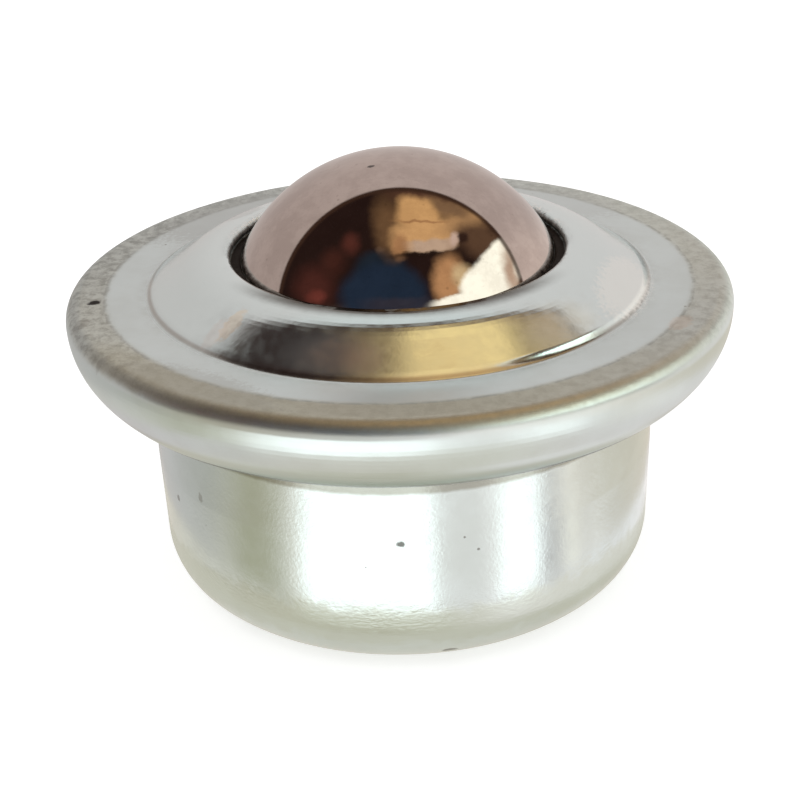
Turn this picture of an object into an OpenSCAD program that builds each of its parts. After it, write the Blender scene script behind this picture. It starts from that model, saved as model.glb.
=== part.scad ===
// Flanged ball transfer unit with pressed steel sheets.
// The origin lies on the upright axis, in the plane where the rim rests on a table top.
// Every sheet is a turned section: its outline runs along one face and back along the other.

/* [Balls] */
// Diameter of the load ball
ball_d = 30.16; // [27:0.01:34]
// Diameter of a support ball
support_d = 3.175; // [2.8:0.005:3.6]
// Radial play between the support balls and the faces that they roll on
ball_play = 0.05; // [0.03:0.01:0.1]
// Smallest gap between neighbouring support balls
support_gap = 0.08; // [0.05:0.01:0.2]
// Free height between the top row of support balls and the seal ring
row_headroom = 0.5; // [0.35:0.05:1]

/* [Sheets] */
// Thickness of the cover's sheet
cover_t = 1.2; // [1:0.05:1.4]
// Thickness of the housing's sheet
housing_t = 2; // [1.6:0.05:2.2]
// Thickness of the ball cup's sheet
cup_t = 1.5; // [1.2:0.05:1.65]
// Thickness of the seal ring
seal_t = 0.85; // [0.5:0.05:1.2]

/* [Housing] */
// Gap between the ball cup and the housing around it
cup_fit = 0.05; // [0.03:0.01:0.15]
// Extra gap between the ball cup and the housing's floor
base_gap = 0.55; // [0:0.05:1]
// Length of the straight stretch of wall below the rim
body_straight = 7.3; // [5:0.1:9]
// Draft of the wall below the straight stretch, in degrees
body_draft = 1.6; // [0:0.1:3]
// Outer radius of the bottom corner
body_corner = 4.8; // [3:0.1:6]
// Inner radius of the bend between the housing's wall and its flange
housing_bend = 0.8; // [0.5:0.05:1]
// Inner radius of the bend between the ball cup's wall and its flange
cup_bend = 0.4; // [0.2:0.05:0.55]

/* [Rim] */
// Width of the rim outside the housing's wall
rim_w = 6.65; // [6:0.05:8]
// Distance that the rolled edge tucks in between its widest line and the seat
rim_tuck = 2.9; // [2.5:0.1:3.5]
// Radius of the rim's top edge
rim_edge = 1.35; // [1.1:0.05:1.8]
// Radius between the rolled edge and the seat
seat_edge = 0.85; // [0.4:0.05:1.2]
// Gap between the rolled lip and the housing's bend
lip_gap = 0.3; // [0.1:0.05:0.5]
// Gap between the flanges' cut edges and the rolled edge around them
flange_gap = 0.1; // [0.05:0.05:0.3]

/* [Crown] */
// Height of the crown above the rim
crown_h = 3.15; // [2.4:0.05:3.6]
// Slope of the cone below the crown, in degrees
cone_slope = 33; // [26:1:38]
// Radius of the crown above the cone
crown_r = 6.6; // [4.5:0.1:7.5]
// Radius of the fillet at the foot of the cone
cone_fillet = 0.6; // [0.3:0.1:2]
// Radius of the mouth's top edge
mouth_edge = 0.5; // [0.3:0.05:0.7]
// Height of the straight land inside the mouth
mouth_land = 0.2; // [0.1:0.05:0.4]
// Gap between the mouth and the load ball
mouth_gap = 0.7; // [0.3:0.05:0.9]
// Gap between the seal ring and the load ball
seal_gap = 0.1; // [0.05:0.05:0.3]

/* [Hidden] */
$fn = 96;
arc_step = 4;

// The layers clamped in the rim, from the seat upwards
housing_flange_z = cover_t;
cup_flange_z = housing_flange_z + housing_t;
seal_z = cup_flange_z + cup_t;
rim_under_z = seal_z + seal_t;
rim_z = rim_under_z + cover_t;

// The balls, from the load ball outwards
ball_r = ball_d / 2;
support_r = support_d / 2;
ball_z = seal_z - row_headroom - support_r;
track_r = ball_r + ball_play + support_r;
cup_in_r = track_r + support_r + ball_play;
cup_out_r = cup_in_r + cup_t;

// The support balls lie in level rows, from one ball at the bottom to the load ball's widest line
support_pitch = support_d + support_gap;
rows = floor(90 / (2 * asin(support_pitch / (2 * track_r))));
row_step = 90 / rows;
row_shift = 7;
single_rows = 3;

// The housing's cup
body_in_r = cup_out_r + cup_fit;
body_r = body_in_r + housing_t;
bottom_z = ball_z - body_r - base_gap;
corner_z = bottom_z + body_corner;
draft_len = (-body_straight - corner_z) / cos(body_draft) + body_corner * tan(body_draft);
corner_x = body_r - draft_len * sin(body_draft) - body_corner * cos(body_draft);

// The rolled rim
rim_r = body_r + rim_w;
bead_z = rim_z - rim_edge;
bead_r = (rim_tuck * rim_tuck + bead_z * bead_z) / (2 * rim_tuck);
bead_x = rim_r - bead_r;
bead_in_r = bead_r - cover_t;
seat_x = bead_x + sqrt(pow(bead_r - seat_edge, 2) - pow(bead_z - seat_edge, 2));
seat_angle = asin((bead_z - seat_edge) / (bead_r - seat_edge));
lip_r = body_r + housing_bend + lip_gap;

// The crown and its mouth
crown_z = rim_z + crown_h;
relief_r = ball_r + mouth_gap;
mouth_r = sqrt(pow(relief_r, 2) - pow(crown_z - mouth_edge - mouth_land - ball_z, 2));
crown_x = mouth_r + mouth_edge;
cone_run = (crown_h - crown_r * (1 - cos(cone_slope))) / tan(cone_slope);
cone_foot = crown_x + crown_r * sin(cone_slope) + cone_run;
fillet_x = cone_foot + cone_fillet * tan(cone_slope / 2);

// Points along an arc about the point at, from one angle to another
function arc(at, r, from, to) =
    let (steps = max(2, ceil(abs(to - from) / arc_step)))
    [for (i = [0 : steps]) let (a = from + (to - from) * i / steps) at + r * [cos(a), sin(a)]];

// Inner radius of the rolled edge at the height z
function bead_inside(z) = bead_x + sqrt(pow(bead_in_r, 2) - pow(bead_z - z, 2));

// Angle of the rolled edge's inner face at the height z
function bead_angle(z) = asin((z - bead_z) / bead_in_r);

// A row's radius, height and number of balls, counted from the bottom ball
function row_r(row) = track_r * sin(row * row_step);
function row_z(row) = ball_z - track_r * cos(row * row_step);
function row_count(row) = floor(180 / asin(support_pitch / (2 * row_r(row))));

// Cup with a flat bottom, a drafted lower wall, a straight upper wall and a turned-out flange
module housing() {
    bend_at = [body_r + housing_bend, housing_flange_z - housing_bend];
    corner_at = [corner_x, corner_z];
    flange_r = bead_inside(housing_flange_z) - flange_gap;
    color([0.78, 0.79, 0.76])
        rotate_extrude()
            polygon(concat(
                [[0, bottom_z]],
                arc(corner_at, body_corner, -90, -body_draft),
                [[body_r, -body_straight]],
                arc(bend_at, housing_bend, 180, 90),
                [[flange_r, housing_flange_z], [flange_r, cup_flange_z]],
                arc(bend_at, housing_bend + housing_t, 90, 180),
                [[body_in_r, -body_straight]],
                arc(corner_at, body_corner - housing_t, -body_draft, -90),
                [[0, bottom_z + housing_t]]
            ));
}

// Cap with a crown round the ball and its edge rolled in under the housing's flange
module cover() {
    crown_at = [crown_x, crown_z - crown_r];
    fillet_at = [fillet_x, rim_z + cone_fillet];
    bead_at = [bead_x, bead_z];
    color([0.80, 0.81, 0.79])
        rotate_extrude()
            difference() {
                polygon(concat(
                    [[lip_r, 0]],
                    arc([seat_x, seat_edge], seat_edge, -90, -seat_angle),
                    arc(bead_at, bead_r, -seat_angle, 0),
                    arc([rim_r - rim_edge, bead_z], rim_edge, 0, 90),
                    arc(fillet_at, cone_fillet, -90, -90 - cone_slope),
                    arc(crown_at, crown_r, 90 - cone_slope, 90),
                    arc([crown_x, crown_z - mouth_edge], mouth_edge, 90, 180),
                    [[mouth_r, crown_z - cover_t]],
                    arc(crown_at, crown_r - cover_t, 90, 90 - cone_slope),
                    arc(fillet_at, cone_fillet + cover_t, -90 - cone_slope, -90),
                    arc(bead_at, bead_in_r, bead_angle(rim_under_z), bead_angle(cover_t)),
                    [[lip_r, cover_t]]
                ));
                translate([0, ball_z])
                    circle(r = relief_r);
            }
}

// Hardened half-round cup that the support balls run in, hung from its flange
module ball_cup() {
    bend_at = [cup_out_r + cup_bend, cup_flange_z - cup_bend];
    centre = [0, ball_z];
    flange_r = bead_inside(cup_flange_z) - flange_gap;
    color([0.42, 0.42, 0.44])
        rotate_extrude()
            polygon(concat(
                arc(centre, cup_out_r, -90, 0),
                arc(bend_at, cup_bend, 180, 90),
                [[flange_r, cup_flange_z], [flange_r, seal_z]],
                arc(bend_at, cup_bend + cup_t, 90, 180),
                arc(centre, cup_in_r, 0, -90)
            ));
}

// Flat ring clamped under the cover, with its inner edge cut to the ball
module seal_ring() {
    outer_r = bead_inside(seal_z) - flange_gap;
    color([0.16, 0.13, 0.11])
        rotate_extrude()
            difference() {
                translate([0, seal_z])
                    square([outer_r, seal_t]);
                translate([0, ball_z])
                    circle(r = ball_r + seal_gap);
            }
}

// Load ball
module main_ball() {
    color([0.62, 0.60, 0.60])
        translate([0, 0, ball_z])
            sphere(r = ball_r);
}

// One support ball of a row, with i = 0 on the +X side of the top row
module support_ball(row, i) {
    turn = (rows - row) * row_shift + i * 360 / row_count(row);
    color([0.66, 0.66, 0.68])
        rotate([0, 0, turn])
            translate([row_r(row), 0, row_z(row)])
                sphere(r = support_r);
}

// A row's balls as separate solids; the top row leaves out the ball on its +X side
module support_row(row) {
    first = row == rows ? 1 : 0;
    for (i = [first : row_count(row) - 1])
        support_ball(row, i);
}

// The lowest support ball, on the upright axis
module bottom_support_ball() {
    color([0.66, 0.66, 0.68])
        translate([0, 0, row_z(0)])
            sphere(r = support_r);
}

housing();
cover();
ball_cup();
seal_ring();
main_ball();
bottom_support_ball();
support_ball(rows, 0);  // side_support_ball
for (row = [1 : single_rows]) {
    for (i = [1 : row_count(row)]) {
        support_ball(row, i);
    }
}
for (row = [single_rows + 1 : rows]) {
    support_row(row);
}
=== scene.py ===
import math

import bmesh
import bpy
import numpy as np
from mathutils import Matrix, Vector, noise


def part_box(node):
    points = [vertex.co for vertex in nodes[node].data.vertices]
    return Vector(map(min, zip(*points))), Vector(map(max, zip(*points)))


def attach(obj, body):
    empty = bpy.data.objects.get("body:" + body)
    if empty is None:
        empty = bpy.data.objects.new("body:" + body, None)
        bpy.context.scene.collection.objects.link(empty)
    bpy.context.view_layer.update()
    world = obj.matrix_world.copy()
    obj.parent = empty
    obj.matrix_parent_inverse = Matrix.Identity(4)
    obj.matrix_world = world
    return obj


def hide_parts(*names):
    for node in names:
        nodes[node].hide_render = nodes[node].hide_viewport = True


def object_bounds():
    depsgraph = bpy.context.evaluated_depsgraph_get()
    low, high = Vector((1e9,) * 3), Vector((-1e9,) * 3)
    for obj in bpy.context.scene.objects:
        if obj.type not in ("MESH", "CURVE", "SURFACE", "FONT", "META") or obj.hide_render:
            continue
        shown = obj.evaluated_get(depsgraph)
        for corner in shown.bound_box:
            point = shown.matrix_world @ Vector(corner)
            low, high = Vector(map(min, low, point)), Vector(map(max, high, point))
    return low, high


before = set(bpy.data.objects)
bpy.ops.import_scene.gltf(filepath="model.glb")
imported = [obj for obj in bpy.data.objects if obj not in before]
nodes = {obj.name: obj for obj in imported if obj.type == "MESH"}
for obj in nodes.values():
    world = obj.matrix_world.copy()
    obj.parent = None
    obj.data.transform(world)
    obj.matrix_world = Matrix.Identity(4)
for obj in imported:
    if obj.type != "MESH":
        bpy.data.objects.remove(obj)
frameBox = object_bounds()
print("frame loaded,", len(nodes), "nodes")


def mm(value):
    return value / 1000


# outlines of the turned pieces, read back from the frame
outlineValues = {
    "sameRing": 4e-6,     # rings closer than this are one ring, m
    "longestStep": 0.6,   # spacing of the rings along a straight stretch, mm
    "landing": 0.06,      # extra ring this far from each end of a straight stretch, mm
    "shortest": 5,        # stretches shorter than this many landings are left alone
    "sharpAbove": 26,     # edges that turn more than this stay crisp, degrees
}


def sectionOf(nodeName):  # the (radius, height) outline that was turned to make a node, in order
    mesh = nodes[nodeName].data
    spots = np.array([(math.hypot(v.co.x, v.co.y), v.co.z) for v in mesh.vertices])
    rings = []
    for spot in np.unique(np.round(spots, 6), axis=0):
        if all(np.hypot(*(spot - ring)) > outlineValues["sameRing"] for ring in rings):
            rings.append(spot)
    rings = np.array(rings)
    gaps = np.hypot(spots[:, None, 0] - rings[None, :, 0], spots[:, None, 1] - rings[None, :, 1])
    ringOf = gaps.argmin(axis=1)
    links = {index: set() for index in range(len(rings))}
    for face in mesh.polygons:
        met = sorted({int(ringOf[v]) for v in face.vertices})
        if len(met) == 2:
            links[met[0]].add(met[1])
            links[met[1]].add(met[0])
    ends = [index for index in links if len(links[index]) == 1]
    walk = [ends[0] if ends else 0]
    while True:
        onward = [index for index in links[walk[-1]] if index not in walk]
        if not onward:
            break
        walk.append(onward[0])
    return [tuple(rings[index]) for index in walk], not ends


def withLandings(outline, closed):  # rings added along straight stretches, so that flats stay flat
    made = []
    count = len(outline)
    for index in range(count if closed else count - 1):
        (r0, z0), (r1, z1) = outline[index], outline[(index + 1) % count]
        length = math.hypot(r1 - r0, z1 - z0)
        landing = mm(outlineValues["landing"]) / max(length, 1e-9)
        made.append((r0, z0))
        if length > outlineValues["shortest"] * mm(outlineValues["landing"]):
            inner = max(1, math.ceil(length / mm(outlineValues["longestStep"])))
            shares = [landing + (1 - 2 * landing) * step / inner for step in range(inner + 1)]
            made += [(r0 + (r1 - r0) * s, z0 + (z1 - z0) * s) for s in shares]
    if not closed:
        made.append(outline[-1])
    return made


def placed(name, data):  # a new object in the scene
    made = bpy.data.objects.new(name, data)
    bpy.context.scene.collection.objects.link(made)
    print(name, "made")
    return made


def newPiece(name, points, faces):
    mesh = bpy.data.meshes.new(name)
    mesh.from_pydata(points, [], faces)
    work = bmesh.new()
    work.from_mesh(mesh)
    bmesh.ops.recalc_face_normals(work, faces=work.faces)
    work.to_mesh(mesh)
    work.free()
    mesh.shade_smooth()
    mesh.set_sharp_from_angle(angle=math.radians(outlineValues["sharpAbove"]))
    return placed(name, mesh)


def turned(name, nodeName, segments, shape=None):  # a fine turned mesh on the outline of a node
    outline, closed = sectionOf(nodeName)
    outline = withLandings(outline, closed)
    rings = len(outline)
    angles = [2 * math.pi * step / segments for step in range(segments)]
    points = [Vector((r * math.cos(a), r * math.sin(a), z)) for r, z in outline for a in angles]
    faces = []
    for ring in range(rings if closed else rings - 1):
        after = (ring + 1) % rings
        for step in range(segments):
            onward = (step + 1) % segments
            faces.append((ring * segments + step, ring * segments + onward,
                          after * segments + onward, after * segments + step))
    if not closed:  # the ends are closed by discs round the axis
        for ring in (0, rings - 1):
            points.append(Vector((0, 0, outline[ring][1])))
            for step in range(segments):
                onward = (step + 1) % segments
                faces.append((len(points) - 1, ring * segments + onward, ring * segments + step))
    if shape:
        points = [shape(point) for point in points]
    return newPiece(name, points, faces)


def stands(piece, body, nodeName, material):  # rides on a body and stands for the node there
    piece.data.materials.append(material)
    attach(piece, body)
    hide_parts(nodeName)
    return piece


# shader building
grainLevels = (0.3, 0.7)   # nearly all of a grain's noise lies between these


def feed(tree, value, socket):  # a socket takes a plain value or another node's output
    if isinstance(value, bpy.types.NodeSocket):
        tree.links.new(value, socket)
    else:
        socket.default_value = value


def put(tree, kind, inputs=None, **settings):
    made = tree.nodes.new("ShaderNode" + kind)
    for key, value in settings.items():
        setattr(made, key, value)
    for key, value in (inputs or {}).items():
        feed(tree, value, made.inputs[key])
    return made


def sums(tree, operation, *terms):
    return put(tree, "Math", dict(enumerate(terms)), operation=operation).outputs[0]


def product(tree, first, *others):
    for other in others:
        first = sums(tree, "MULTIPLY", first, other)
    return first


def lengthOf(tree, vector):
    return put(tree, "VectorMath", {0: vector}, operation="LENGTH").outputs["Value"]


def along(tree, vector, direction):
    return put(tree, "VectorMath", {0: vector, 1: direction}, operation="DOT_PRODUCT").outputs["Value"]


def ramped(tree, value, low, high, atLow=0.0, atHigh=1.0):  # a smooth step between two values
    step = put(tree, "MapRange", {"Value": value, "From Min": low, "From Max": high,
                                  "To Min": atLow, "To Max": atHigh}, interpolation_type="SMOOTHSTEP")
    return step.outputs["Result"]


def fading(tree, value, low, high):
    return ramped(tree, value, low, high, 1.0, 0.0)


def ridge(tree, value, rise, fall, top=1.0, after=0.0):  # up over the first span, down over the second
    return product(tree, ramped(tree, value, *rise, 0.0, top), ramped(tree, value, *fall, 1.0, after))


def blended(tree, share, first, second):
    return put(tree, "Mix", {0: share, 6: first, 7: second}, data_type="RGBA").outputs[2]


def tint(colour):
    return (*colour, 1)


def grainAt(tree, place, scale, detail=2.0, roughness=0.5):
    made = put(tree, "TexNoise", {"Vector": place, "Scale": scale, "Detail": detail,
                                  "Roughness": roughness})
    return made.outputs["Fac"]


def evened(tree, grain, atLow=0.0, atHigh=1.0):
    return ramped(tree, grain, *grainLevels, atLow, atHigh)


def drawnGrain(tree, place, turn, stretch, grain):  # grain that is drawn out in one direction
    drawn = put(tree, "Mapping", {"Vector": place, "Rotation": turn, "Scale": stretch})
    return grainAt(tree, drawn.outputs[0], *grain)


def swayed(tree, value, place, scale, reach, detail=4.0):  # a value that wanders by up to half the reach
    wobble = sums(tree, "SUBTRACT", grainAt(tree, place, scale, detail, 0.65), 0.5)
    return sums(tree, "ADD", value, product(tree, wobble, reach))


def placeInMm(tree):
    coordinate = put(tree, "TexCoord").outputs["Object"]
    return put(tree, "VectorMath", {0: coordinate, "Scale": 1000.0}, operation="SCALE").outputs["Vector"]


def measured(tree):  # the place on the piece in mm, as a whole and by its three sides
    place = placeInMm(tree)
    x, y, z = put(tree, "SeparateXYZ", {0: place}).outputs
    return {"place": place, "x": x, "y": y, "z": z}


def radiusOf(tree, at):
    return lengthOf(tree, put(tree, "CombineXYZ", {0: at["x"], 1: at["y"]}).outputs[0])


def ovalFrame(tree, place, spot, size, turn, label):  # the place as seen from an oval; 1 is the oval's edge
    return put(tree, "Mapping", {"Vector": place, "Location": spot, "Scale": size,
                                 "Rotation": (0, 0, math.radians(turn))},
               vector_type="TEXTURE", label=label).outputs[0]


def newMaterial(name):
    material = bpy.data.materials.new(name)
    material.use_nodes = True
    tree = material.node_tree
    tree.nodes.clear()
    shader = put(tree, "BsdfPrincipled")
    put(tree, "OutputMaterial", {0: shader.outputs[0]})
    return material, tree, shader


# coats: colour, polish (the roughness), metal and height in mm, built up in layers
def layColour(tree, coat, share, colour):
    shade = colour if isinstance(colour, bpy.types.NodeSocket) else tint(colour)
    coat["colour"] = blended(tree, share, coat["colour"], shade)


def layPolish(tree, coat, share, polish):
    apart = sums(tree, "SUBTRACT", polish, coat["polish"])
    coat["polish"] = sums(tree, "ADD", coat["polish"], product(tree, apart, share))


def addHeight(tree, coat, *factors):
    coat["height"] = sums(tree, "ADD", coat["height"], product(tree, *factors))


def coated(tree, shader, coat):
    for socket, part in (("Base Color", "colour"), ("Roughness", "polish"), ("Metallic", "metal")):
        feed(tree, coat[part], shader.inputs[socket])
    if "height" in coat:
        bump = put(tree, "Bump", {"Height": coat["height"], "Strength": 1.0, "Distance": mm(1)})
        feed(tree, bump.outputs["Normal"], shader.inputs["Normal"])


blotValues = {
    "wander": (2.5, 1.3),
    "edge": (0.7, 1.15),    # a blot fades out between these parts of its half size
}


def marked(tree, place, coat, marks):  # soft-edged blots at given places
    for name, spot, size, turn, strength, shade in marks:
        reach = lengthOf(tree, ovalFrame(tree, place, spot, size, turn, name))
        ragged = swayed(tree, reach, place, *blotValues["wander"])
        layColour(tree, coat, ramped(tree, ragged, *blotValues["edge"], strength, 0.0), shade)


# zinc plated sheet; a grain is (how many in a millimetre, detail, roughness), a wander is (waves in
# a millimetre, reach), and a span is two places in mm with, at times, what it gives at each
zincValues = {
    "pale": (0.73, 0.82, 0.83),
    "dull": (0.685, 0.765, 0.765),
    "cloud": (0.22, 5, 0.6),    # grain of the pale and dull clouds
    "polish": (0.12, 0.2),      # roughness of the bright sheet, least and most
    "polishGrain": (0.9, 4),
    "peel": (3.2, 4, 0.6),      # grain of the orange peel
    "cells": 0.9,               # cells that may hold a pit, in a millimetre
    "empty": 0.93,              # share of the cells that stay empty
    "pitSize": (0.02, 0.11),    # least and most, as a part of a cell
    "pitWander": (7, 0.08, 2),
    "pitDepth": 0.03,           # mm
    "pit": (0.2, 0.2, 0.18),
    "pitShare": 0.7,
}
coverValues = {
    "peelDepth": 0.004,             # mm
    "turning": 0.5,                 # how far the reflections spread across the turning marks
    "cone": (0.80, 0.90, 0.91),     # the cone is brighter than the rest
    # painted reflection: the cone's front is painted brighter still
    "coneFrontSheen": (0.80, 0.98, 1.0),
    "coneFrontSheenSpan": (-14.0, -17.0),
    "coneShare": 0.9,
    "foot": (20.75, 21.5),          # a small step at the foot of the cone, between these radii, mm
    "footWander": (0.35, 0.06, 2),
    "footDrop": (5.0, 11.0, 0.03, 0.2),     # its depth at the left and at the right, mm
    "flat": (21.3, 21.9),           # the flat ring begins between these radii, mm
    "flatPolish": 0.3,
    "footShadeAndDirt": (21.5, 22.8),       # painted shade with dirt thins out from the step between these radii, mm
    "footShadeAndDirtGrain": (0.9, 5, 0.7),
    "footShadeAndDirtLevels": (0.35, 0.65),
    "footShadeAndDirtShare": 0.2,
    "corner": (0.28, 0.22, 0.17),   # painted shade: a dark line in the step's corner
    "cornerRise": (21.08, 21.34),
    "cornerFall": (21.4, 21.66),
    "cornerShare": 0.5,
    "band": (24.6, 25.5),           # the dull outer band begins between these radii, mm
    "bandWander": (0.45, 0.5),
    "bandFloor": (5.6, 6.4),        # it fades out down the rounded edge between these heights, mm
    "bandFloorWander": (0.8, 0.4),
    "bandColour": (0.475, 0.515, 0.50),
    "bandLight": (0.70, 0.755, 0.73),
    "bandLightSpan": (6.0, 22.0, 0.0, 0.5),     # paler towards the right
    "bandBlotch": (1.15, 6, 0.8),
    "bandBlotchLevels": (0.36, 0.6),
    "bandFrontSheen": (0.55, 0.545, 0.45),             # a tan painted reflection on its front side
    "bandFrontSheenSpan": (-10.0, -20.0, 0.0, 0.8),
    "bandFrontSheenWander": (0.12, 8.0),
    "bandEdge": (0.33, 0.34, 0.31),             # a broken darker line along its inner edge
    "bandEdgeLevels": ((0.2, 0.5), (0.75, 0.98)),
    "bandEdgeGrain": (0.7, 4, 0.7),
    "bandEdgeShare": (0.4, 0.6, 0.1, 0.75),
    "bandPolish": (0.55, 0.42),
    "bandGrain": (3.2, 5, 0.7),
    "bandGrainDepth": 0.009,        # mm
    "rolled": (5.2, 6.2),           # the rolled edge waves below these heights, mm
    "rimWave": (0.16, 2, 0.5),
    "rimWaveHeight": 0.09,          # mm
    "under": (0.57, 0.635, 0.60),   # painted shade: the underside of the rim is darker
    "underTop": (1.4, 2.3),
    "seamShade": (0.34, 0.34, 0.31),     # painted shade along the rim's lowest edge, where it meets the body
    "seamShadeSpan": (0.4, 0.75, 0.9, 0.0),
    "seamShadeWander": (1.2, 0.3),
    "seamShadeLine": (0.11, 0.11, 0.105),        # a dark line of painted shade there, towards the two sides
    "seamShadeLineTop": (0.5, 0.75),
    "seamShadeLineAside": (8.0, 15.0),
    "lipShadeAndDirt": (0.12, 0.115, 0.10),         # painted shade with dirt over the front of the lip
    "lipShadeAndDirtSpan": (15.1, 16.5, 0.9, 0.0),
    "lipShadeAndDirtFront": (-7.0, -13.0),
    "lipShadeAndDirtWander": (1.0, 0.4),
    "wearAndSheen": (14.6, 15.5),           # the lip is worn up to between these radii, mm
    "wornGrain": (0.25, 3),
    "wornLevels": (0.44, 0.56),
    "nick": (2.2, 5, 0.75),
    "nickDepth": 0.09,              # mm
    "paintedReflections": [                      # painted reflections on the cone, as less metallic patches: place, half sizes, turn, share, colour
        ("leftPaintedReflection", (-5.2, -18.9, 7.8), (4.6, 2.6, 3.5), -16, 0.10, (0.66, 0.45, 0.33)),
        ("rightPaintedReflection", (12.6, -14.9, 8.0), (4.6, 2.6, 3.5), 42, 0.17, (0.92, 0.94, 0.84)),
    ],
    "paintedReflectionWander": (0.8, 0.5),
    "paintedReflectionEdge": (0.2, 1.1),
    "paintedReflectionTint": 0.6,                # how much of a painted reflection's colour shows
    "mouthGlint": (0.97, 0.98, 0.95),  # painted glints: white specks along the back of the mouth's edge
    "mouthGlintSpan": (1.0, 5.0),
    "mouthGlintGrain": (5.0, 3),
    "mouthGlintLevels": (0.52, 0.6),
    "grimeAndShade": (0.028, 0.022, 0.018),
    "mouth": (14.2, 14.6),          # the painted shade and grime inside the mouth fade out between these radii, mm
    "mouthWander": (1.6, 0.3),
    "grimeAndShadePolish": 0.6,
}
coverMarks = [  # place and half sizes in mm, turn in degrees, strength, colour
    ("nick", (-25.8, -3.5, 6.75), (0.62, 0.5, 0.6), 38, 1.0, (0.03, 0.028, 0.026)),
    ("smudge", (-26.3, -8.2, 6.7), (1.3, 0.7, 1.0), 70, 0.25, (0.30, 0.29, 0.27)),
    ("dent", (-23.6, -15.2, 6.5), (0.9, 0.4, 1.0), 35, 0.2, (0.18, 0.17, 0.15)),
    ("edgeDirt", (-21.5, -16.4, 6.7), (1.0, 0.4, 1.0), 35, 0.15, (0.22, 0.21, 0.19)),
    ("warmBlot", (-13.2, -13.4, 8.4), (1.9, 0.8, 1.5), 45, 0.33, (0.95, 0.72, 0.44)),
    ("pinkBlot", (-14.6, -13.6, 7.9), (1.8, 0.9, 1.5), 40, 0.25, (0.78, 0.68, 0.62)),
    ("tanBlot", (22.4, -12.2, 6.75), (1.6, 0.9, 1.0), 60, 0.4, (0.72, 0.62, 0.53)),
    # painted highlight: the cone's right side is painted brighter
    ("rightPaintedHighlight", (18.6, -6.4, 7.9), (2.3, 6.0, 2.5), -18, 0.6, (0.97, 1.0, 0.97)),
    # a darker, cooler patch on the band's front left
    ("leftDarkPatch", (-15.5, -20.8, 6.7), (8.0, 2.4, 1.5), -36, 0.3, (0.40, 0.41, 0.38)),
    # painted shade: the back of the flat ring and the back left of the cone are darker
    ("backPaintedShade", (-14.5, 17.5, 6.75), (10.0, 4.5, 1.5), 40, 0.55, (0.47, 0.50, 0.49)),
    ("backRightPaintedShade", (14.5, 18.5, 6.75), (8.0, 3.5, 1.5), -38, 0.3, (0.50, 0.53, 0.52)),
    ("leftPaintedShade", (-13.8, 9.6, 9.3), (2.2, 1.4, 1.5), 55, 0.35, (0.42, 0.44, 0.43)),
]


def zincCoat(tree, place, values, peelDepth):
    cloud = evened(tree, grainAt(tree, place, *values["cloud"]))
    coat = {
        "colour": blended(tree, cloud, tint(values["dull"]), tint(values["pale"])),
        "polish": evened(tree, grainAt(tree, place, *values["polishGrain"]), *values["polish"]),
        "height": product(tree, grainAt(tree, place, *values["peel"]), peelDepth),
        "metal": 1.0,
    }
    cells = put(tree, "TexVoronoi", {"Vector": place, "Scale": values["cells"], "Randomness": 1.0})
    chosen = put(tree, "SeparateColor", {0: cells.outputs["Color"]})
    pitSize = product(tree, ramped(tree, chosen.outputs[1], 0, 1, *values["pitSize"]),
                      sums(tree, "GREATER_THAN", chosen.outputs[0], values["empty"]))
    reach = swayed(tree, cells.outputs["Distance"], place, *values["pitWander"])
    pit = sums(tree, "LESS_THAN", reach, pitSize)
    layColour(tree, coat, product(tree, pit, values["pitShare"]), values["pit"])
    addHeight(tree, coat, pit, -values["pitDepth"])
    return coat


def coneOn(tree, at, coat, values):  # the bright cone, painted brighter towards its front as a painted reflection, and the step at its foot with painted shade in and near its corner; gives the cone's share
    fromAxis = swayed(tree, at["radius"], at["place"], *values["footWander"])
    onCone = fading(tree, fromAxis, *values["foot"])
    # the cone's colour, painted brighter towards the front as a painted reflection
    cone = blended(tree, ramped(tree, at["y"], *values["coneFrontSheenSpan"]),
                   tint(values["cone"]), tint(values["coneFrontSheen"]))
    layColour(tree, coat, product(tree, onCone, values["coneShare"]), cone)
    addHeight(tree, coat, onCone, ramped(tree, at["x"], *values["footDrop"]))
    flat = ramped(tree, at["radius"], *values["flat"])
    layPolish(tree, coat, flat, values["flatPolish"])
    # painted shade with dirt near the step, mottled
    grain = ramped(tree, grainAt(tree, at["place"], *values["footShadeAndDirtGrain"]), *values["footShadeAndDirtLevels"])
    shadeAndDirt = product(tree, flat, fading(tree, fromAxis, *values["footShadeAndDirt"]), grain, values["footShadeAndDirtShare"])
    layColour(tree, coat, shadeAndDirt, values["seamShade"])
    # painted shade: a dark line in the step's corner
    corner = ridge(tree, fromAxis, values["cornerRise"], values["cornerFall"], values["cornerShare"])
    layColour(tree, coat, corner, values["corner"])
    return onCone


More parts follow.
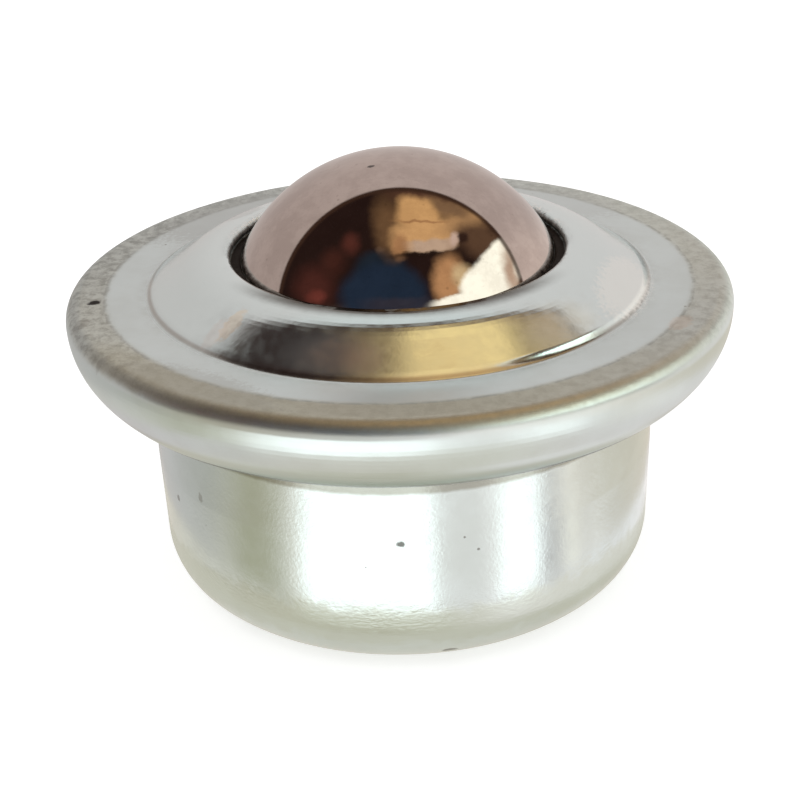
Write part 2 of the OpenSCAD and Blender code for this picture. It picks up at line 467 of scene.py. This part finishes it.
def bandOn(tree, at, coat, values):  # the dull outer band, scuffed, with a tan painted reflection on its front
    place = at["place"]
    start = ramped(tree, swayed(tree, at["radius"], place, *values["bandWander"]), *values["band"])
    top = ramped(tree, swayed(tree, at["z"], place, *values["bandFloorWander"]), *values["bandFloor"])
    band = product(tree, start, top)
    blotch = grainAt(tree, place, *values["bandBlotch"])
    scuffed = {"colour": blended(tree, ramped(tree, blotch, *values["bandBlotchLevels"]),
                                 tint(values["bandColour"]), tint(values["bandLight"]))}
    # the front side is tinted tan: a painted reflection
    wearAndSheen = swayed(tree, at["y"], place, *values["bandFrontSheenWander"])
    layColour(tree, scuffed, ramped(tree, wearAndSheen, *values["bandFrontSheenSpan"]), values["bandFrontSheen"])
    layColour(tree, scuffed, ramped(tree, at["x"], *values["bandLightSpan"]), values["bandLight"])
    broken = ramped(tree, grainAt(tree, place, *values["bandEdgeGrain"]), *values["bandEdgeShare"])
    edge = product(tree, ridge(tree, start, *values["bandEdgeLevels"]), broken)
    layColour(tree, scuffed, edge, values["bandEdge"])
    layColour(tree, coat, band, scuffed["colour"])
    layPolish(tree, coat, band, evened(tree, blotch, *values["bandPolish"]))
    addHeight(tree, coat, grainAt(tree, place, *values["bandGrain"]), values["bandGrainDepth"], band)


def rimOn(tree, at, coat, values):  # the rolled edge's waves, with painted shade on its underside and along the seam with the body
    place = at["place"]
    wave = product(tree, grainAt(tree, place, *values["rimWave"]), values["rimWaveHeight"])
    addHeight(tree, coat, wave, fading(tree, at["z"], *values["rolled"]))
    # painted shade on the rim's underside
    layColour(tree, coat, fading(tree, at["z"], *values["underTop"]), values["under"])
    # painted shade along the rim's lowest edge and its seam with the body, darkest as a line towards the
    # sides
    lowest = ramped(tree, swayed(tree, at["z"], place, *values["seamShadeWander"]), *values["seamShadeSpan"])
    layColour(tree, coat, lowest, values["seamShade"])
    aside = ramped(tree, sums(tree, "ABSOLUTE", at["x"]), *values["seamShadeLineAside"])
    line = product(tree, aside, fading(tree, at["z"], *values["seamShadeLineTop"]))
    layColour(tree, coat, line, values["seamShadeLine"])


def lipOn(tree, at, coat, values):  # the lip's nicks and the painted shade with dirt over its front; gives the share that is worn
    place = at["place"]
    fromAxis = swayed(tree, at["radius"], place, *values["lipShadeAndDirtWander"])
    # painted shade with dirt over the front of the lip, near the mouth
    front = product(tree, ramped(tree, at["y"], *values["lipShadeAndDirtFront"]),
                    ramped(tree, fromAxis, *values["lipShadeAndDirtSpan"]))
    layColour(tree, coat, front, values["lipShadeAndDirt"])
    wearAndSheen = product(tree, fading(tree, at["radius"], *values["wearAndSheen"]),
                   ramped(tree, grainAt(tree, place, *values["wornGrain"]), *values["wornLevels"]))
    addHeight(tree, coat, grainAt(tree, place, *values["nick"]), values["nickDepth"], wearAndSheen)
    return wearAndSheen


def paintedReflectionsOn(tree, at, coat, onCone, values):
    # painted reflections: less metallic patches that lighten the cone in the reflections' colours
    for name, spot, size, turn, share, shade in values["paintedReflections"]:
        reach = lengthOf(tree, ovalFrame(tree, at["place"], spot, size, turn, name))
        reflectionMask = fading(tree, swayed(tree, reach, at["place"], *values["paintedReflectionWander"]), *values["paintedReflectionEdge"])
        reflectionMask = product(tree, reflectionMask, onCone)
        layColour(tree, coat, product(tree, reflectionMask, values["paintedReflectionTint"]), shade)
        coat["metal"] = sums(tree, "SUBTRACT", coat["metal"], product(tree, reflectionMask, share))


def mouthOn(tree, at, coat, wearAndSheen, values):  # painted glints at the back of the mouth's edge, and painted shade with grime inside the mouth
    # painted glints: white specks at the back of the mouth's edge
    bright = ramped(tree, grainAt(tree, at["place"], *values["mouthGlintGrain"]), *values["mouthGlintLevels"])
    mouthGlint = product(tree, wearAndSheen, ramped(tree, at["y"], *values["mouthGlintSpan"]), bright)
    layColour(tree, coat, mouthGlint, values["mouthGlint"])
    # painted shade with grime inside the mouth
    inside = fading(tree, swayed(tree, at["radius"], at["place"], *values["mouthWander"]), *values["mouth"])
    layColour(tree, coat, inside, values["grimeAndShade"])
    layPolish(tree, coat, inside, values["grimeAndShadePolish"])


def coverZinc(name, zinc, values, marks):
    material, tree, shader = newMaterial(name)
    at = measured(tree)
    at["radius"] = radiusOf(tree, at)
    coat = zincCoat(tree, at["place"], zinc, values["peelDepth"])
    onCone = coneOn(tree, at, coat, values)
    bandOn(tree, at, coat, values)
    rimOn(tree, at, coat, values)
    wearAndSheen = lipOn(tree, at, coat, values)
    marked(tree, at["place"], coat, marks)
    paintedReflectionsOn(tree, at, coat, onCone, values)
    mouthOn(tree, at, coat, wearAndSheen, values)
    coated(tree, shader, coat)
    shader.inputs["Anisotropic"].default_value = values["turning"]
    tangent = put(tree, "Tangent", direction_type="RADIAL", axis="Z")
    feed(tree, tangent.outputs[0], shader.inputs["Tangent"])
    return material


housingValues = {
    "peelDepth": 0.012,             # mm
    "stainAndShade": (0.64, 0.68, 0.56),    # the bottom corner is darker and olive: a stain and a painted reflection of the shaded floor near the body
    "stainAndShadeShare": 0.4,
    "cornerTop": (-12.6, -14.2),    # the corner's look comes in between these heights, mm
    "cornerLow": (-16.2, -17.4),    # and goes down to cornerRest between these
    "cornerRest": 0.25,
    "cornerWander": (0.5, 3.0),
    "cornerPolish": 0.26,
    "leather": (1.7, 4, 0.6),       # the drawn, leathery texture at the corner
    "leatherStretch": (1.0, 1.0, 2.2),
    "leatherDepth": 0.03,           # mm
    "underRimShade": (0.42, 0.44, 0.40),   # painted shade just under the rim
    "collarSpan": (-2.87, -2.5),
    "collarWander": (1.0, 0.25),
}
housingMarks = [
    ("pit", (-0.6, -21.9, -7.1), (0.34, 0.3, 0.3), 0, 0.9, (0.10, 0.10, 0.09)),
    ("leftPit", (-19.3, -10.2, -8.6), (0.3, 0.3, 0.35), 0, 0.7, (0.2, 0.2, 0.18)),
    ("leftNick", (-17.0, -13.8, -6.7), (0.3, 0.3, 0.5), 0, 0.5, (0.3, 0.3, 0.26)),
    ("lowPit", (3.1, -20.3, -18.2), (0.7, 0.4, 0.3), 0, 0.8, (0.12, 0.12, 0.1)),
]


def housingZinc(name, zinc, values, marks):
    material, tree, shader = newMaterial(name)
    at = measured(tree)
    place = at["place"]
    coat = zincCoat(tree, place, zinc, values["peelDepth"])
    level = swayed(tree, at["z"], place, *values["cornerWander"])
    corner = ridge(tree, level, values["cornerTop"], values["cornerLow"], after=values["cornerRest"])
    # the corner's olive tint: a stain and a painted reflection of the shaded floor near the body
    layColour(tree, coat, product(tree, corner, values["stainAndShadeShare"]), values["stainAndShade"])
    layPolish(tree, coat, corner, values["cornerPolish"])
    leather = drawnGrain(tree, place, (0, 0, 0), values["leatherStretch"], values["leather"])
    addHeight(tree, coat, leather, values["leatherDepth"], corner)
    # painted shade just under the rim
    underRimShade = ramped(tree, swayed(tree, at["z"], place, *values["collarWander"]), *values["collarSpan"])
    layColour(tree, coat, underRimShade, values["underRimShade"])
    marked(tree, place, coat, marks)
    coated(tree, shader, coat)
    return material


# polished bearing steel
ballValues = {
    "cuts": 95,                 # the ball's mesh has this many cuts to a side
    "colour": (0.57, 0.485, 0.445),
    "clouded": (0.50, 0.42, 0.385),
    "cloud": (0.35, 6, 0.7),
    "cloudLevels": (0.4, 0.62),
    "smear": (1.3, 5, 0.7),     # faint smears, darker than the clouded steel
    "smearTurn": (0.2, 0.5, 0.7),
    "smearStretch": (0.5, 1.6, 1.6),
    "smearShare": (0.56, 0.75, 0.0, 0.35),
    "smearDim": 0.7,
    "cells": 1.3,               # cells that may hold a speck, in a millimetre
    "empty": 0.72,              # share of the cells that stay clear
    "pitShare": 0.5,
    "pitWander": (5, 0.1, 2),
    "pitEdge": (0.08, 0.22),
    "pit": (0.33, 0.27, 0.24),
    "polish": (0.02, 0.04),
    "polishGrain": (0.8, 3),
    "scratch": (1.0, 4, 0.6),   # fine rolling marks
    "scratchTurn": (0.4, 0.9, 0.3),
    "scratchStretch": (0.5, 9.0, 3.0),
    "scratchDepth": 0.0005,     # mm
}
ballMarks = [("speck", (-1.97, -2.12, 17.4), (0.32, 0.24, 0.3), 0, 0.9, (0.06, 0.05, 0.045))]


def bearingSteel(name, values, marks):
    material, tree, shader = newMaterial(name)
    place = placeInMm(tree)
    cloud = ramped(tree, grainAt(tree, place, *values["cloud"]), *values["cloudLevels"])
    scratches = drawnGrain(tree, place, values["scratchTurn"], values["scratchStretch"], values["scratch"])
    coat = {
        "colour": blended(tree, cloud, tint(values["clouded"]), tint(values["colour"])),
        "polish": evened(tree, grainAt(tree, place, *values["polishGrain"]), *values["polish"]),
        "height": product(tree, scratches, values["scratchDepth"]),
        "metal": 1.0,
    }
    smear = drawnGrain(tree, place, values["smearTurn"], values["smearStretch"], values["smear"])
    layColour(tree, coat, ramped(tree, smear, *values["smearShare"]),
              [c * values["smearDim"] for c in values["clouded"]])
    cells = put(tree, "TexVoronoi", {"Vector": place, "Scale": values["cells"], "Randomness": 1.0})
    chosen = put(tree, "SeparateColor", {0: cells.outputs["Color"]})
    reach = swayed(tree, cells.outputs["Distance"], place, *values["pitWander"])
    dot = product(tree, fading(tree, reach, *values["pitEdge"]),
                  ramped(tree, chosen.outputs[0], values["empty"], 1.0, 0.0, values["pitShare"]))
    layColour(tree, coat, dot, values["pit"])
    marked(tree, place, coat, marks)
    coated(tree, shader, coat)
    return material


# hardened cup, small balls and felt
cupValues = {
    "segments": 240,
    "dark": (0.16, 0.15, 0.14),
    "pale": (0.34, 0.33, 0.32),
    "cloud": (0.8, 4),
    "polish": (0.22, 0.42),
    "polishGrain": (2.5, 3),
    "grain": (6, 3),
    "grainDepth": 0.004,        # mm
}
smallBallValues = {
    "dark": (0.5, 0.49, 0.48),
    "pale": (0.6, 0.59, 0.58),
    "cloud": (1.2, 3),
    "polish": (0.05, 0.12),
    "polishGrain": (3, 3),
}
feltValues = {
    "segments": 480,
    "fuzz": 0.05,               # mm, inward only
    "fuzzGrain": 4000,          # ruffles in a metre
    "dark": (0.008, 0.006, 0.005),
    "pale": (0.055, 0.042, 0.035),
    "fibre": (2.2, 6, 0.7),
    "fibreStretch": (3.0, 3.0, 9.0),
    "fibreDepth": 0.12,         # mm
    "polish": 0.95,
}


def cloudySteel(name, values):
    material, tree, shader = newMaterial(name)
    place = placeInMm(tree)
    coat = {
        "colour": blended(tree, grainAt(tree, place, *values["cloud"]), tint(values["dark"]),
                          tint(values["pale"])),
        "polish": evened(tree, grainAt(tree, place, *values["polishGrain"]), *values["polish"]),
        "metal": 1.0,
    }
    if "grain" in values:
        coat["height"] = product(tree, grainAt(tree, place, *values["grain"]), values["grainDepth"])
    coated(tree, shader, coat)
    return material


def darkFelt(name, values):
    material, tree, shader = newMaterial(name)
    fibre = drawnGrain(tree, placeInMm(tree), (0, 0, 0), values["fibreStretch"], values["fibre"])
    coated(tree, shader, {
        "colour": blended(tree, fibre, tint(values["dark"]), tint(values["pale"])),
        "polish": values["polish"],
        "height": product(tree, fibre, values["fibreDepth"]),
        "metal": 0.0,
    })
    return material


# pressed sheets
pressValues = {
    "segments": 330,
    "unevenness": 0.03,   # how far the pressings stray from true, mm
    "upShare": 0.5,       # share of that which they stray up and down
    "stride": 9.0,        # length over which they stray, mm
    "otherField": (40, 0, 0),
}


def pressedUnevenness(point):  # the same field for both sheets, so that they stay clear of each other
    spread = 1 / mm(pressValues["stride"])
    stray = mm(pressValues["unevenness"])
    reach = math.hypot(point.x, point.y)
    widest, lowest = frameBox[1].x, frameBox[0].z
    wanted = min(widest, reach + stray * noise.noise(point * spread))
    apart = Vector(pressValues["otherField"])
    height = max(lowest, point.z + pressValues["upShare"] * stray * noise.noise(point * spread + apart))
    scale = wanted / reach if reach > 1e-6 else 1
    return Vector((point.x * scale, point.y * scale, height))


cover = turned("zinc_cover", "cover", pressValues["segments"], pressedUnevenness)
stands(cover, "shell", "cover", coverZinc("coverZinc", zincValues, coverValues, coverMarks))
housing = turned("zinc_housing", "housing", pressValues["segments"], pressedUnevenness)
stands(housing, "shell", "housing",
       housingZinc("housingZinc", zincValues, housingValues, housingMarks))
cup = turned("hardened_cup", "ball_cup", cupValues["segments"])
stands(cup, "shell", "ball_cup", cloudySteel("hardenedSteel", cupValues))
print("sheets done")


# felt seal
sealLow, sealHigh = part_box("seal_ring")
sealMiddle = (sealLow.z + sealHigh.z) / 2


def feltFuzz(point):
    ruffle = mm(feltValues["fuzz"]) * abs(noise.noise(point * feltValues["fuzzGrain"]))
    return Vector((point.x, point.y, point.z - math.copysign(ruffle, point.z - sealMiddle)))


seal = turned("felt_seal", "seal_ring", feltValues["segments"], feltFuzz)
stands(seal, "shell", "seal_ring", darkFelt("darkFelt", feltValues))
print("seal done")


# balls
def evenSphere(name, centre, radius, cuts):  # a cube's six grids blown out to a sphere
    work = bmesh.new()
    bmesh.ops.create_cube(work, size=2)
    bmesh.ops.subdivide_edges(work, edges=work.edges, cuts=cuts, use_grid_fill=True)
    for vertex in work.verts:
        spread = Vector([math.tan(c * math.pi / 4) for c in vertex.co])
        vertex.co = centre + spread.normalized() * radius
    mesh = bpy.data.meshes.new(name)
    work.to_mesh(mesh)
    work.free()
    mesh.shade_smooth()
    return placed(name, mesh)


ballLow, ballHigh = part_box("main_ball")
ballRadius = min(ballHigh - ballLow) / 2
ball = evenSphere("polished_ball", (ballLow + ballHigh) / 2, ballRadius, ballValues["cuts"])
stands(ball, "load_ball", "main_ball", bearingSteel("bearingSteel", ballValues, ballMarks))

smallSteel = cloudySteel("smallBallSteel", smallBallValues)
for nodeName, node in nodes.items():
    if "support" in nodeName:
        for holder in node.material_slots:
            holder.material = smallSteel
print("balls done")

# surroundings that the metal mirrors, drawn as a mirror ball shows them from the room's open side
roomValues = {
    "plain": 0.8,               # level of the plain light that falls on everything
    "facing": 21.7,             # elevation of the open side, degrees
    "edgeMiddle": (0.0125, 0.051),   # the pale table begins outside this circle
    "edgeRadius": 0.697,
    "edgeWidth": 0.006,
    "edgeFrom": (-0.2, 0.0),
    "skirting": (-0.03, -0.012),    # a dark line comes in between these, from the circle
    "skirtingFrom": (0.05, 0.25),
    "skirtingShare": 0.85,
    "skirtingColour": (0.075, 0.042, 0.028),
    "dark": (0.031, 0.017, 0.0145),
    "horizon": (-0.13, 0.13),   # the pale low half gives way to the dark half between these
    "upperFrom": (-0.40, -0.32),    # and the rows of its colours to each other
    "middleFrom": (-0.57, -0.49),
    "lowerFrom": (-0.92, -0.76),
    "bottom": (0.62, 0.57, 0.50),
    "tableLeft": (0.60, 0.545, 0.52),
    "tableMiddle": (0.70, 0.64, 0.615),
    "tableMiddleFrom": (-0.8, 0.0),
    "tableRight": (0.92, 0.84, 0.79),
    "tableRightFrom": (0.35, 0.8),
    "tableRightBelow": (0.62, 0.3),
    "drift": (9.0, 4.0, 0.6),   # the patches' edges wander with this noise
    "driftReach": 0.06,
}
roomRows = {  # colours of the pale low half from left to right, by height on the mirror ball
    "upper": [(-0.9, (0.60, 0.56, 0.54)), (-0.75, (0.50, 0.47, 0.42)), (-0.6, (0.49, 0.44, 0.33)),
              (-0.45, (0.55, 0.47, 0.37)), (-0.3, (0.63, 0.57, 0.51)), (-0.15, (0.75, 0.70, 0.64)),
              (0.0, (0.80, 0.73, 0.705)), (0.15, (0.96, 0.87, 0.83)), (0.3, (1.18, 1.09, 1.01)),
              (0.45, (1.14, 1.08, 1.01)), (0.6, (1.02, 0.90, 0.80)), (0.75, (0.755, 0.67, 0.56))],
    "middle": [(-0.86, (0.70, 0.65, 0.61)), (-0.77, (0.70, 0.65, 0.60)), (-0.70, (0.68, 0.63, 0.54)),
               (-0.61, (0.485, 0.455, 0.325)), (-0.55, (0.495, 0.46, 0.335)), (-0.49, (0.66, 0.62, 0.51)),
               (-0.43, (1.0, 0.93, 0.83)), (-0.38, (1.6, 1.6, 1.55)), (0.08, (1.6, 1.6, 1.55)),
               (0.115, (0.97, 0.91, 0.87)), (0.26, (0.93, 0.87, 0.83)), (0.32, (1.08, 1.0, 0.96)),
               (0.37, (1.6, 1.6, 1.55)), (0.475, (1.6, 1.6, 1.55)), (0.51, (0.93, 0.87, 0.85)),
               (0.54, (0.62, 0.57, 0.55)), (0.56, (0.62, 0.57, 0.55)), (0.59, (0.96, 0.88, 0.82)),
               (0.635, (1.10, 1.0, 0.88)),
               (0.67, (0.90, 0.82, 0.77)), (0.72, (1.02, 0.94, 0.89)), (0.80, (0.86, 0.80, 0.77)),
               (0.95, (0.87, 0.81, 0.79))],
    "lower": [(-0.75, (0.72, 0.645, 0.64)), (-0.45, (0.70, 0.645, 0.60)), (-0.3, (0.76, 0.68, 0.60)),
              (0.15, (0.775, 0.71, 0.615)), (0.3, (0.80, 0.735, 0.64)), (0.45, (0.82, 0.735, 0.705)),
              (0.6, (0.87, 0.80, 0.77))],
}
roomPatches = [  # shape, right, up, half width, half height, turn in degrees, softness, colour
    ("window", "card", -0.148, -0.49, 0.235, 0.095, 0, 0.12, (1.6, 1.6, 1.55)),
    ("redLow", "oval", -0.47, 0.21, 0.10, 0.105, 20, 0.7, (0.11, 0.038, 0.030)),
    ("redSpot", "oval", -0.46, 0.155, 0.045, 0.03, 10, 0.8, (0.25, 0.07, 0.055)),
    ("redMiddle", "oval", -0.36, 0.345, 0.06, 0.07, -30, 0.8, (0.085, 0.032, 0.024)),
    ("redHigh", "oval", -0.26, 0.445, 0.045, 0.05, 0, 0.8, (0.135, 0.045, 0.034)),
    ("greyDot", "oval", -0.095, 0.405, 0.022, 0.018, 0, 0.7, (0.19, 0.135, 0.10)),
    ("blueTop", "oval", -0.10, 0.31, 0.14, 0.09, 0, 0.3, (0.022, 0.036, 0.056)),
    ("blue", "oval", -0.085, 0.15, 0.235, 0.185, 0, 0.22, (0.024, 0.046, 0.088)),
    ("blueLow", "card", -0.02, 0.10, 0.16, 0.03, 0, 0.7, (0.055, 0.06, 0.09)),
    ("goldShade", "oval", -0.045, 0.53, 0.08, 0.15, 8, 0.6, (0.24, 0.145, 0.072)),
    ("goldEdge", "oval", 0.16, 0.675, 0.18, 0.04, -12, 0.7, (0.17, 0.09, 0.055)),
    ("gold", "card", 0.128, 0.60, 0.125, 0.082, -10, 0.28, (1.02, 0.66, 0.29)),
    ("goldLow", "card", 0.155, 0.475, 0.18, 0.08, 6, 0.28, (1.02, 0.66, 0.30)),
    ("goldTail", "oval", 0.015, 0.42, 0.04, 0.06, 0, 0.6, (0.66, 0.38, 0.18)),
    ("tan", "oval", 0.37, 0.565, 0.13, 0.055, -24, 0.5, (0.50, 0.32, 0.155)),
    ("goldSpike", "oval", 0.35, 0.525, 0.11, 0.04, 16, 0.6, (0.88, 0.57, 0.27)),
    ("olive", "oval", 0.29, 0.625, 0.12, 0.035, -26, 0.6, (0.34, 0.22, 0.12)),
    ("crease", "card", 0.14, 0.553, 0.13, 0.006, -3, 0.6, (0.66, 0.38, 0.17)),
    ("brownCorner", "oval", 0.47, 0.43, 0.16, 0.09, -30, 0.5, (0.165, 0.10, 0.06)),
    ("hook", "oval", 0.37, 0.45, 0.032, 0.035, 40, 0.5, (0.055, 0.03, 0.022)),
    ("paleGrey", "card", 0.185, 0.42, 0.125, 0.034, 4, 0.35, (0.85, 0.68, 0.51)),
    ("paleTip", "oval", 0.315, 0.45, 0.025, 0.035, -30, 0.6, (0.95, 0.78, 0.66)),
    ("darkLine", "oval", 0.15, 0.368, 0.17, 0.014, 0, 0.6, (0.028, 0.016, 0.012)),
    ("orange", "oval", 0.275, 0.23, 0.085, 0.13, -6, 0.45, (0.80, 0.47, 0.225)),
    ("yellow", "oval", 0.355, 0.235, 0.055, 0.07, 20, 0.6, (1.02, 0.84, 0.48)),
    ("creamLow", "card", 0.43, 0.10, 0.25, 0.05, 7, 0.2, (1.85, 2.05, 1.85)),
    ("cream", "card", 0.53, 0.235, 0.205, 0.12, 46, 0.14, (1.85, 2.05, 1.85)),
    ("creamShade", "oval", 0.63, 0.25, 0.035, 0.14, 12, 0.8, (0.85, 0.68, 0.52)),
]


def onMirrorBall(tree, direction, facing):  # the place on the ball where a far direction shows
    lift = math.radians(facing)
    towards = Vector((0, -math.cos(lift), math.sin(lift)))
    half = put(tree, "VectorMath", {0: direction, 1: towards}, operation="ADD").outputs[0]
    half = put(tree, "VectorMath", {0: half}, operation="NORMALIZE").outputs[0]
    right = along(tree, half, (1, 0, 0))
    up = along(tree, half, tuple(towards.cross(Vector((1, 0, 0)))))
    return right, up, put(tree, "CombineXYZ", {0: right, 1: up}).outputs[0]


def drifting(tree, spot, values):  # the spot, moved a little by noise
    scale, detail, roughness = values["drift"]
    drift = put(tree, "TexNoise", {"Vector": spot, "Scale": scale, "Detail": detail, "Roughness": roughness})
    centred = put(tree, "VectorMath", {0: drift.outputs["Color"], 1: (0.5, 0.5, 0.5)}, operation="SUBTRACT")
    moved = put(tree, "VectorMath", {0: centred.outputs[0], "Scale": values["driftReach"]}, operation="SCALE")
    return put(tree, "VectorMath", {0: spot, 1: moved.outputs[0]}, operation="ADD").outputs[0]


def addPatch(tree, spot, under, patch):  # one soft-edged oval or card of colour
    name, shape, right, up, halfWidth, halfHeight, turn, softness, colour = patch
    local = ovalFrame(tree, spot, (right, up, 0), (halfWidth, halfHeight, 1), turn, name)
    if shape == "card":
        squared = put(tree, "VectorMath", {0: local, 1: local}, operation="MULTIPLY").outputs[0]
        far = sums(tree, "POWER", along(tree, squared, squared), 0.25)
    else:
        far = lengthOf(tree, local)
    return blended(tree, fading(tree, far, 1 - softness, 1 + softness), under, tint(colour))


def rowColour(tree, right, stops):  # a strip of colours from left to right
    strip = put(tree, "ValToRGB", {"Fac": sums(tree, "MULTIPLY_ADD", right, 0.5, 0.5)})
    elements = strip.color_ramp.elements
    elements.remove(elements[1])
    elements[0].position = (stops[0][0] + 1) / 2
    elements[0].color = tint(stops[0][1])
    for spot, colour in stops[1:]:
        elements.new((spot + 1) / 2).color = tint(colour)
    return strip.outputs["Color"]


def lowHalf(tree, right, up, values, rows):
    upper, middle, lower = (rowColour(tree, right, rows[row]) for row in ("upper", "middle", "lower"))
    low = blended(tree, ramped(tree, up, *values["upperFrom"]), middle, upper)
    low = blended(tree, ramped(tree, up, *values["middleFrom"]), lower, low)
    return blended(tree, ramped(tree, up, *values["lowerFrom"]), tint(values["bottom"]), low)


def paleTable(tree, right, up, values):
    middle = ramped(tree, right, *values["tableMiddleFrom"])
    table = blended(tree, middle, tint(values["tableLeft"]), tint(values["tableMiddle"]))
    rightward = product(tree, ramped(tree, right, *values["tableRightFrom"]),
                        ramped(tree, up, *values["tableRightBelow"]))
    return blended(tree, rightward, table, tint(values["tableRight"]))


def addSurroundings(values, rows, patches):
    world = bpy.data.worlds.new("studio")
    bpy.context.scene.world = world
    world.use_nodes = True
    tree = world.node_tree
    tree.nodes.clear()
    right, up, spot = onMirrorBall(tree, put(tree, "TexCoord").outputs["Generated"], values["facing"])
    room = blended(tree, ramped(tree, up, *values["horizon"]), lowHalf(tree, right, up, values, rows),
                   tint(values["dark"]))
    wandering = drifting(tree, spot, values)
    for patch in patches:
        room = addPatch(tree, wandering, room, patch)
    middle, edge = (*values["edgeMiddle"], 0), values["edgeRadius"]
    reach = put(tree, "VectorMath", {0: spot, 1: middle}, operation="DISTANCE").outputs["Value"]
    line = product(tree, ramped(tree, reach, *(edge + step for step in values["skirting"])),
                   ramped(tree, up, *values["skirtingFrom"]), values["skirtingShare"])
    room = blended(tree, line, room, tint(values["skirtingColour"]))
    outside = product(tree, ramped(tree, up, *values["edgeFrom"]),
                      ramped(tree, reach, edge - values["edgeWidth"], edge + values["edgeWidth"]))
    mirrored = blended(tree, outside, room, paleTable(tree, right, up, values))
    path = put(tree, "LightPath").outputs
    lit = blended(tree, path["Is Glossy Ray"], tint([values["plain"]] * 3), mirrored)
    white = sums(tree, "MAXIMUM", path["Is Camera Ray"], path["Is Transmission Ray"])
    background = put(tree, "Background", {"Color": blended(tree, white, lit, (1, 1, 1, 1)), "Strength": 1.0})
    put(tree, "OutputWorld", {"Surface": background.outputs[0]})


addSurroundings(roomValues, roomRows, roomPatches)
print("surroundings done")

# floor and lamp
studioValues = {
    "floorSize": 6.0,       # m
    "floorColour": 0.9,
    "floorLift": 0.5,       # added to the floor as the camera sees it, so that it shows as white
    "nearEdge": (29.0, 31.4),       # reach of the floor that the metal mirrors, mm from the axis
    "nearWander": (0.5, 1.2),
    "nearFoot": (25.0, 26.8),       # paler close to the body, mm from the axis
    "nearWidth": 28.0,              # half width of the strip of its colours, mm
    "near": [(-0.8, (0.76, 0.70, 0.61)), (-0.45, (0.63, 0.58, 0.46)), (-0.1, (0.57, 0.52, 0.40)),
             (0.15, (0.66, 0.61, 0.50)), (0.5, (1.0, 0.92, 0.91)), (0.9, (1.0, 0.94, 0.92))],
    "nearest": (0.75, 0.70, 0.62),
    "lampPower": 0.32,      # W
    "lampSize": 0.35,       # m
    "lampPlace": (-0.25, -0.25, 0.55),
}


def mirroredFloor(tree, values):  # the floor near the body as the metal mirrors it
    at = measured(tree)
    radius = radiusOf(tree, at)
    shade = rowColour(tree, sums(tree, "DIVIDE", at["x"], values["nearWidth"]), values["near"])
    shade = blended(tree, ramped(tree, radius, *values["nearFoot"]), tint(values["nearest"]), shade)
    reach = ramped(tree, swayed(tree, radius, at["place"], *values["nearWander"]), *values["nearEdge"])
    glow = put(tree, "Emission", {"Color": shade}).outputs[0]
    clear = put(tree, "BsdfTransparent").outputs[0]
    return put(tree, "MixShader", {0: reach, 1: glow, 2: clear}).outputs[0]


def addFloor(values):
    half = values["floorSize"] / 2
    mesh = bpy.data.meshes.new("floor")
    corners = [(-half, -half, 0), (half, -half, 0), (half, half, 0), (-half, half, 0)]
    mesh.from_pydata(corners, [], [(0, 1, 2, 3)])
    floor = placed("floor", mesh)
    floor.location.z = frameBox[0].z
    material, tree, shader = newMaterial("paleFloor")
    path = put(tree, "LightPath").outputs
    plain = {"Base Color": tint([values["floorColour"]] * 3), "Roughness": 1.0, "Specular IOR Level": 0.0,
             "Emission Color": (1, 1, 1, 1),
             "Emission Strength": product(tree, path["Is Camera Ray"], values["floorLift"])}
    for socket, value in plain.items():
        feed(tree, value, shader.inputs[socket])
    whole = put(tree, "MixShader", {0: path["Is Glossy Ray"], 1: shader.outputs[0],
                                    2: mirroredFloor(tree, values)})
    feed(tree, whole.outputs[0], tree.nodes["Material Output"].inputs["Surface"])
    mesh.materials.append(material)


def addLamp(values):
    data = bpy.data.lights.new("softLamp", "AREA")
    data.size = values["lampSize"]
    data.energy = values["lampPower"]
    lamp = placed("softLamp", data)
    lamp.location = values["lampPlace"]
    lamp.rotation_mode = "QUATERNION"
    lamp.rotation_quaternion = (-Vector(values["lampPlace"])).to_track_quat("-Z", "Y")
    lamp.visible_glossy = False


addFloor(studioValues)
addLamp(studioValues)
print("studio done")

# camera
cameraValues = {
    "distance": 150.1,          # from the rim's centre, mm
    "elevation": 21.72,         # degrees above the seat plane
    "aim": (-0.265, 0, -5.11),  # point that the view is centred on, mm
    "roll": 2.14,               # degrees
    "lens": 78.07,              # mm
    "sensor": 36,               # mm
    "clip": (0.01, 20),         # m
    "rimHeight": 6.75,          # mm
}


def addCamera(values):
    tilt = math.radians(values["elevation"])
    far = mm(values["distance"])
    place = Vector((0, -far * math.cos(tilt), mm(values["rimHeight"]) + far * math.sin(tilt)))
    aim = Vector([mm(v) for v in values["aim"]])
    data = bpy.data.cameras.new("viewCamera")
    data.lens = values["lens"]
    data.sensor_width = values["sensor"]
    data.clip_start, data.clip_end = values["clip"]
    camera = placed("viewCamera", data)
    turn = (aim - place).to_track_quat("-Z", "Y").to_matrix().to_4x4()
    lean = Matrix.Rotation(math.radians(-values["roll"]), 4, "Z")
    camera.matrix_world = Matrix.Translation(place) @ turn @ lean
    bpy.context.scene.camera = camera


addCamera(cameraValues)
bpy.context.scene.view_settings.view_transform = "Standard"
print("camera set")
